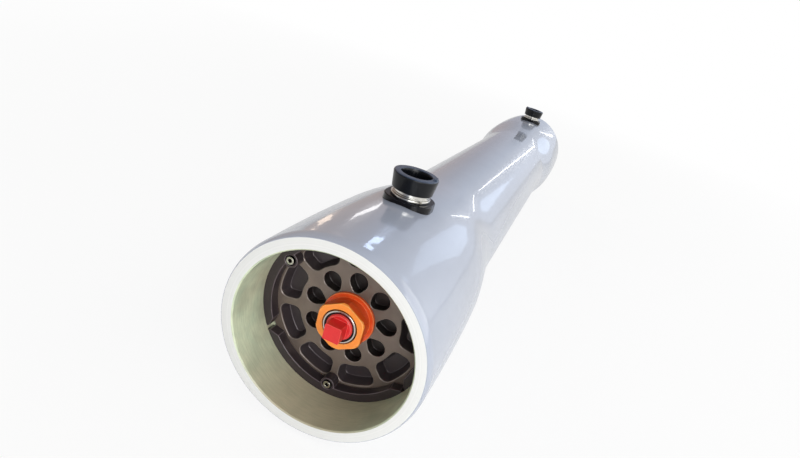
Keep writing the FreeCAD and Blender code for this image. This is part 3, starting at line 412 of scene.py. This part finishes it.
def dress(node, body, materials, edge_width):
    """A finished piece in the shape of a CAD node, with its sharp edges rounded by a live bevel.

    The bevel wears the last of the materials, so a second one can paint a highlight along the edges.
    """
    piece = add_piece(node + "_finished", smooth_copy(node), body, materials, node)
    bevel = piece.modifiers.new("edge", "BEVEL")
    bevel.width = edge_width
    bevel.segments = 2
    bevel.limit_method = "ANGLE"
    bevel.angle_limit = sharp_turn
    bevel.harden_normals = False
    bevel.material = len(materials) - 1


def along_bore(tree, place, start, end, most=1.0, shape="LINEAR"):
    """0 up to most between two distances from the vessel's middle, the same at both ends."""
    axes = add(tree, "ShaderNodeSeparateXYZ", {"Vector": place})
    reach = add(tree, "ShaderNodeMath", {0: axes.outputs["X"]}, operation="ABSOLUTE")
    ramp = add(tree, "ShaderNodeMapRange", {
        "Value": reach.outputs[0], "From Min": start, "From Max": end, "To Max": most},
        interpolation_type=shape)
    return ramp.outputs["Result"]


def hard_anodised_aluminium(name, roughness, dark, light, small_pocket_shade, large_pocket_shade):
    """Hard anodised aluminium: cloudy dull tones on the turned face, and a painted shade down in the
    pockets.

    The small pockets reach out to a radius of 61.5 mm and the large ones begin at 67 mm, so the two
    painted pocket shades run into each other between 61 and 66 mm.
    """
    material, tree, shader, place = new_material(name, Metallic=0.3, Roughness=roughness)
    plate_front = half_length - groove_back
    face = mottled(tree, place, 25 * MM, 5.0, dark, light)
    # Painted shade: the tone darkens deeper than the plate's front, down in the pockets.
    painted_recess_shade = along_bore(tree, place, plate_front - 0.4 * MM, plate_front - 2.2 * MM, 0.9, "SMOOTHSTEP")
    outer = add(tree, "ShaderNodeMapRange", {
        "Value": from_axis(tree, place), "From Min": 61 * MM, "From Max": 66 * MM})
    pocket = add(tree, "ShaderNodeMix", {
        0: outer.outputs["Result"], 6: linear(small_pocket_shade), 7: linear(large_pocket_shade)}, data_type="RGBA")
    tone = add(tree, "ShaderNodeMix", {0: painted_recess_shade, 6: face, 7: pocket.outputs[2]}, data_type="RGBA")
    grained(tree, shader, place, tone.outputs[2], 1.2 * MM, strength=0.2, depth=0.08 * MM)
    return material


anodised = hard_anodised_aluminium(
    "hard_anodised_aluminium", 0.36, "#63574F", "#887A70", "#161214", "#3D363B")
# A paler copy of the anodised tones, worn by the bevels: a painted highlight along the edges.
anodised_edge_highlight = hard_anodised_aluminium(
    "painted_anodised_edge_highlight", 0.3, "#5E5450", "#ADA29B", "#1B1618", "#4D464A")
for end in ENDS:
    dress(end + "_bearing_plate", "vessel", [anodised, anodised_edge_highlight], 0.7 * MM)


# Permeate ports, bands, nuts and plugs: the port is a black moulded tube through both plates, its
# mouth held by a stainless band. The orange nut is screwed on it and the red plug into it.
def bright_stainless():
    """Turned stainless steel: bright, with fine tool marks that break up its gloss."""
    material, tree, shader, place = new_material("bright_stainless", Metallic=1.0, Roughness=0.2)
    tone = mottled(tree, place, 9 * MM, 4.0, "#C4C2BC", "#DCDAD4")
    grained(tree, shader, place, tone, 0.5 * MM, strength=0.15, depth=0.05 * MM)
    return material


def orange_nylon_with_painted_light(name, dark, light, lit_front_tone):
    """Orange moulded nylon: red, turning paler towards the front of the hexagon as a painted light."""
    material, tree, shader, place = new_material(name, Roughness=0.32, IOR=1.53)
    nut_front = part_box("back_permeate_nut")[1].x
    # Painted light: the tone turns paler towards the front of the nut.
    painted_front_light = along_bore(tree, place, nut_front - 3.5 * MM, nut_front - 0.2 * MM, shape="SMOOTHSTEP")
    deep = mottled(tree, place, 12 * MM, 4.0, dark, light)
    tone = add(tree, "ShaderNodeMix", {0: painted_front_light, 6: deep, 7: linear(lit_front_tone)}, data_type="RGBA")
    grained(tree, shader, place, tone.outputs[2], 0.7 * MM, strength=0.2, depth=0.1 * MM)
    return material


# Black nylon has a satin sheen. Orange nylon and red polypropylene are half glossy, with painted highlights
# on their edges.
black_nylon = moulded_plastic("black_nylon", "#08080A", "#101012", 0.34, 0.8 * MM, ior=1.35)
orange_nylon = orange_nylon_with_painted_light("orange_nylon", "#E8461A", "#F0601E", "#FF9433")
# Painted highlights: lighter tones that the bevels wear along the edges of the nut and the plug.
orange_edge_highlight = orange_nylon_with_painted_light("painted_orange_edge_highlight", "#F07438", "#FA9252", "#FFB868")
red_polypropylene = moulded_plastic("red_polypropylene", "#D21A20", "#EC3230", 0.33, 0.7 * MM)
red_edge_highlight = moulded_plastic("painted_red_edge_highlight", "#EC4642", "#FF6E66", 0.3, 0.7 * MM)
bright_steel = bright_stainless()
for end in ENDS:
    dress(end + "_permeate_port", "vessel", [black_nylon], 0.4 * MM)
    dress(end + "_permeate_band", "vessel", [bright_steel], 0.25 * MM)
    dress(end + "_permeate_nut", "vessel", [orange_nylon, orange_edge_highlight], 0.9 * MM)
    dress(end + "_permeate_plug", end + "_permeate_plug",
          [red_polypropylene, red_edge_highlight], 0.8 * MM)


# Locking segments and screws: three moulded segments fill the groove in the mouth, each tied to
# the bearing plate by one stainless socket head screw in a counterbore.
def socket_stainless():
    """Stainless screws: bright on the turned ring about the socket, with a painted shade deeper down, in the
    socket and round the head.
    """
    material, tree, shader, place = new_material("socket_screw_stainless", Metallic=1.0, Roughness=0.25)
    screw_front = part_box("back_lock_screws")[1].x
    # Painted shade: deeper than the turned ring, the screw darkens in its socket and round its head in the
    # counterbore.
    painted_recess_shade = along_bore(tree, place, screw_front - 0.35 * MM, screw_front - 0.9 * MM)
    ring = mottled(tree, place, 3 * MM, 3.0, "#BDB9AE", "#DAD8CF")
    tone = add(tree, "ShaderNodeMix", {0: painted_recess_shade, 6: ring, 7: linear("#1E1A17")}, data_type="RGBA")
    dull = add(tree, "ShaderNodeMapRange", {"Value": painted_recess_shade, "To Min": 0.25, "To Max": 0.6})
    tree.links.new(dull.outputs["Result"], shader.inputs["Roughness"])
    grained(tree, shader, place, tone.outputs[2], 0.5 * MM, strength=0.15, depth=0.05 * MM)
    return material


# The segments' nylon is a plum black with a soft sheen and a painted highlight along its edges.
screw_steel = socket_stainless()
segment_nylon = moulded_plastic("segment_nylon", "#2E272A", "#3D3436", 0.3, 0.9 * MM)
# Painted highlight: a paler tone that the bevels wear along the segments' edges.
segment_edge_highlight = moulded_plastic("painted_segment_edge_highlight", "#453C40", "#75696E", 0.28, 0.9 * MM)
for end in ENDS:
    for number in (1, 2, 3):
        dress(f"{end}_lock_segment_{number}", "vessel",
              [segment_nylon, segment_edge_highlight], 0.7 * MM)
    dress(end + "_lock_screws", "vessel", [screw_steel], 0.3 * MM)


# Side ports: a turned stainless pipe, flanged inside, drawn tight by a split snap ring that bears
# on a black moulded saddle; a black shipping cap plugs and covers the pipe.
def polyethylene_with_rim_reflection():
    """Black moulded polyethylene, with a blue grey painted reflection on its rim."""
    material, tree, shader, place = new_material("black_polyethylene", Roughness=0.26, IOR=1.35)
    lug_height = 1.8 * MM
    rim_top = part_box("feed_port_cap")[1].z - lug_height
    axes = add(tree, "ShaderNodeSeparateXYZ", {"Vector": place})
    # Painted reflection: the top of the rim turns blue grey.
    painted_rim_reflection = add(tree, "ShaderNodeMapRange", {
        "Value": axes.outputs["Z"], "From Min": rim_top - 1.8 * MM, "From Max": rim_top - 0.1 * MM},
        interpolation_type="SMOOTHSTEP")
    deep = mottled(tree, place, 9 * MM, 4.0, "#07080C", "#0D1015")
    rim = mottled(tree, place, 9 * MM, 4.0, "#2C3443", "#4F5C72")
    tone = add(tree, "ShaderNodeMix", {0: painted_rim_reflection.outputs["Result"], 6: deep, 7: rim}, data_type="RGBA")
    grained(tree, shader, place, tone.outputs[2], 0.9 * MM, strength=0.2, depth=0.1 * MM)
    return material


# The saddle is the glossiest black, with soft dents some 4 mm wide and a painted highlight on its edges.
black_polyethylene = polyethylene_with_rim_reflection()
saddle_nylon = moulded_plastic("glossy_black_nylon", "#060608", "#0D0D10", 0.2, 4.0 * MM, ior=1.35)
# Painted highlight: a paler blue grey that the saddle's bevels wear along its edges.
black_edge_highlight = moulded_plastic("painted_black_edge_highlight", "#2E3543", "#66738A", 0.25, 0.9 * MM)
for port in ("feed", "concentrate"):
    dress(port + "_port_pipe", "vessel", [bright_steel], 0.3 * MM)
    dress(port + "_port_saddle", "vessel", [saddle_nylon, black_edge_highlight], 0.5 * MM)
    dress(port + "_port_clip", "vessel", [bright_steel], 0.3 * MM)
    dress(port + "_port_cap", port + "_port_cap", [black_polyethylene], 0.5 * MM)


# Floor, light and camera: a pale painted floor just under the bells, soft boxes round the vessel
# and a plain sky. The camera looks down on the near mouth from its right, as in the photograph.
WHITE = (1.0, 1.0, 1.0, 1.0)
floor_reach = 12.0
floor_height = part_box("shell")[0].z - 0.2 * MM


def seen_directly(tree, path):
    """1 for what the camera sees by itself or through something clear, and 0 for all other light."""
    seen = add(tree, "ShaderNodeMath", {
        0: path.outputs["Is Camera Ray"], 1: path.outputs["Is Transmission Ray"]}, operation="MAXIMUM")
    return seen.outputs[0]


def pale_floor():
    """Matt pale paint: the camera sees it nearly white, and it keeps the vessel's shadow.

    Beyond a few metres it turns into the plain white of the backdrop, so no horizon shows. Paint
    and metal mirror it at less than a third of that white.
    """
    material, tree, shader, place = new_material("pale_floor", Base_Color=linear("#F2F2F1"), Roughness=0.9)
    distance = add(tree, "ShaderNodeVectorMath", {0: place}, operation="LENGTH")
    fade = add(tree, "ShaderNodeMapRange", {
        "Value": distance.outputs["Value"], "From Min": 0.8, "From Max": 5.0, "To Min": 0.86, "To Max": 1.0},
        interpolation_type="SMOOTHSTEP")
    path = add(tree, "ShaderNodeLightPath")
    mirrored_share = 0.3
    shown = add(tree, "ShaderNodeMath", {
        0: path.outputs["Is Glossy Ray"], 1: mirrored_share, 2: seen_directly(tree, path)},
        operation="MULTIPLY_ADD")
    share = add(tree, "ShaderNodeMath", {0: shown.outputs[0], 1: fade.outputs["Result"]},
                operation="MULTIPLY")
    glow = add(tree, "ShaderNodeEmission", {"Color": WHITE, "Strength": 1.0})
    both = add(tree, "ShaderNodeMixShader", {0: share.outputs[0], 1: shader.outputs[0], 2: glow.outputs[0]})
    tree.links.new(both.outputs[0], tree.nodes["Material Output"].inputs["Surface"])
    return material


floor_corners = np.array([(-1, -1), (1, -1), (1, 1), (-1, 1)]) * floor_reach
floor_mesh = bpy.data.meshes.new("floor")
floor_mesh.from_pydata(np.insert(floor_corners, 2, floor_height, axis=1).tolist(), [], [(0, 1, 2, 3)])
floor_mesh.materials.append(pale_floor())
floor = bpy.data.objects.new("floor", floor_mesh)
bpy.context.scene.collection.objects.link(floor)


def studio_sky():
    """White to the camera, an even grey light on dull surfaces, and graded tones in glossy ones.

    The mirrored tones run by Y from cool white on the right to brown on the left, and by X they
    are dimmer behind the camera.
    """
    world = bpy.data.worlds.new("studio")
    world.use_nodes = True
    sky = world.node_tree
    direction = add(sky, "ShaderNodeTexCoord").outputs["Generated"]
    axes = add(sky, "ShaderNodeSeparateXYZ", {"Vector": direction})
    leftwards = add(sky, "ShaderNodeMapRange", {
        "Value": axes.outputs["Y"], "From Min": -0.5, "From Max": 0.6})
    tones = add(sky, "ShaderNodeValToRGB", {"Fac": leftwards.outputs["Result"]})
    stops = tones.color_ramp.elements
    stops[0].color = linear("#F6F9FF")
    stops[1].color = linear("#C4B1A6")
    for share, tone in ((0.35, "#E4E9F4"), (0.47, "#C8D0E0"), (0.64, "#B0AEB8"), (0.84, "#BFACA3")):
        stops.new(share).color = linear(tone)
    forwards = add(sky, "ShaderNodeMapRange", {
        "Value": axes.outputs["X"], "From Min": -0.5, "From Max": 0.4, "To Min": 0.45, "To Max": 1.0})
    mirrored_tones = add(sky, "ShaderNodeVectorMath", {
        0: tones.outputs["Color"], 1: forwards.outputs["Result"]}, operation="MULTIPLY")
    path = add(sky, "ShaderNodeLightPath")
    even_grey = (0.4, 0.4, 0.4, 1.0)
    on_object = add(sky, "ShaderNodeMix", {
        0: path.outputs["Is Glossy Ray"], 6: even_grey, 7: mirrored_tones.outputs[0]}, data_type="RGBA")
    light = add(sky, "ShaderNodeMix", {0: seen_directly(sky, path), 6: on_object.outputs[2], 7: WHITE},
                data_type="RGBA")
    sky.links.new(light.outputs[2], sky.nodes["Background"].inputs["Color"])
    return world


bpy.context.scene.world = studio_sky()


def add_lamp(name, place, target, width, height, watts, tint="#FFFFFF"):
    """A soft box at a place, turned towards a target."""
    lamp = bpy.data.lights.new(name, "AREA")
    lamp.shape = "RECTANGLE"
    lamp.size = width
    lamp.size_y = height
    lamp.energy = watts
    lamp.color = linear(tint)[:3]
    holder = bpy.data.objects.new(name, lamp)
    holder.location = place
    holder.rotation_euler = (Vector(target) - Vector(place)).to_track_quat("-Z", "Y").to_euler()
    bpy.context.scene.collection.objects.link(holder)
    return holder


# Three large soft boxes light the right side and the near mouth.
add_lamp("key", place=(-1.9, -2.7, 1.7), target=(-0.6, 0, 0), width=4.2, height=3.0, watts=54)
add_lamp("far_side", place=(1.3, -2.9, 1.5), target=(0.4, 0, 0), width=4.0, height=2.8, watts=42)
add_lamp("front", place=(-3.3, -1.5, 1.0), target=(-0.8, 0, 0), width=2.0, height=1.6, watts=44)

# Distant ones add little light. They draw the streaks and glints in the paint.
add_lamp("tall_tube", place=(6.0, -0.74, 1.12), target=(0, 0, 0.1), width=0.06, height=1.5, watts=1.2)
add_lamp("window", place=(7.0, -2.3, 2.3), target=(-0.65, 0, 0.1), width=1.5, height=2.7, watts=11,
         tint="#CFE3FF")
add_lamp("high_window", place=(4.15, 0.8, 3.0), target=(-0.78, 0, 0.13), width=0.5, height=0.25, watts=3,
         tint="#C8DDFF")
add_lamp("doorway", place=(6.5, 3.4, 2.05), target=(-0.7, 0, 0.13), width=0.75, height=0.4, watts=3)
add_lamp("gate", place=(5.9, 4.4, 0.5), target=(-0.75, 0, 0.12), width=0.3, height=0.8, watts=1.5,
         tint="#FFE8D0")

# The last one lifts the far side of the vessel, and stays out of its reflections.
fill = add_lamp("far_fill", place=(0.3, 3.0, 1.5), target=(0, 0, 0), width=3.2, height=2.0, watts=26)
fill.visible_glossy = False

# The camera's place, turn and lens come from the ellipse of the mouth and the lines of both bells.
camera_place = Vector((-1.2396, -0.1656, 0.3452))
camera_right = Vector((0.30381, -0.90695, 0.29180))
camera_up = Vector((0.34629, 0.39045, 0.85301))
camera_data = bpy.data.cameras.new("camera")
camera_data.sensor_width = 36.0
camera_data.lens = 23.52
camera_data.shift_x = -0.0338
camera_data.shift_y = 0.05765
camera_data.clip_start = 0.01
camera = bpy.data.objects.new("camera", camera_data)
turn = Matrix((camera_right, camera_up, camera_right.cross(camera_up))).transposed()
camera.matrix_world = Matrix.Translation(camera_place) @ turn.to_4x4()
bpy.context.scene.collection.objects.link(camera)
bpy.context.scene.camera = camera
bpy.context.scene.view_settings.view_transform = "Standard"
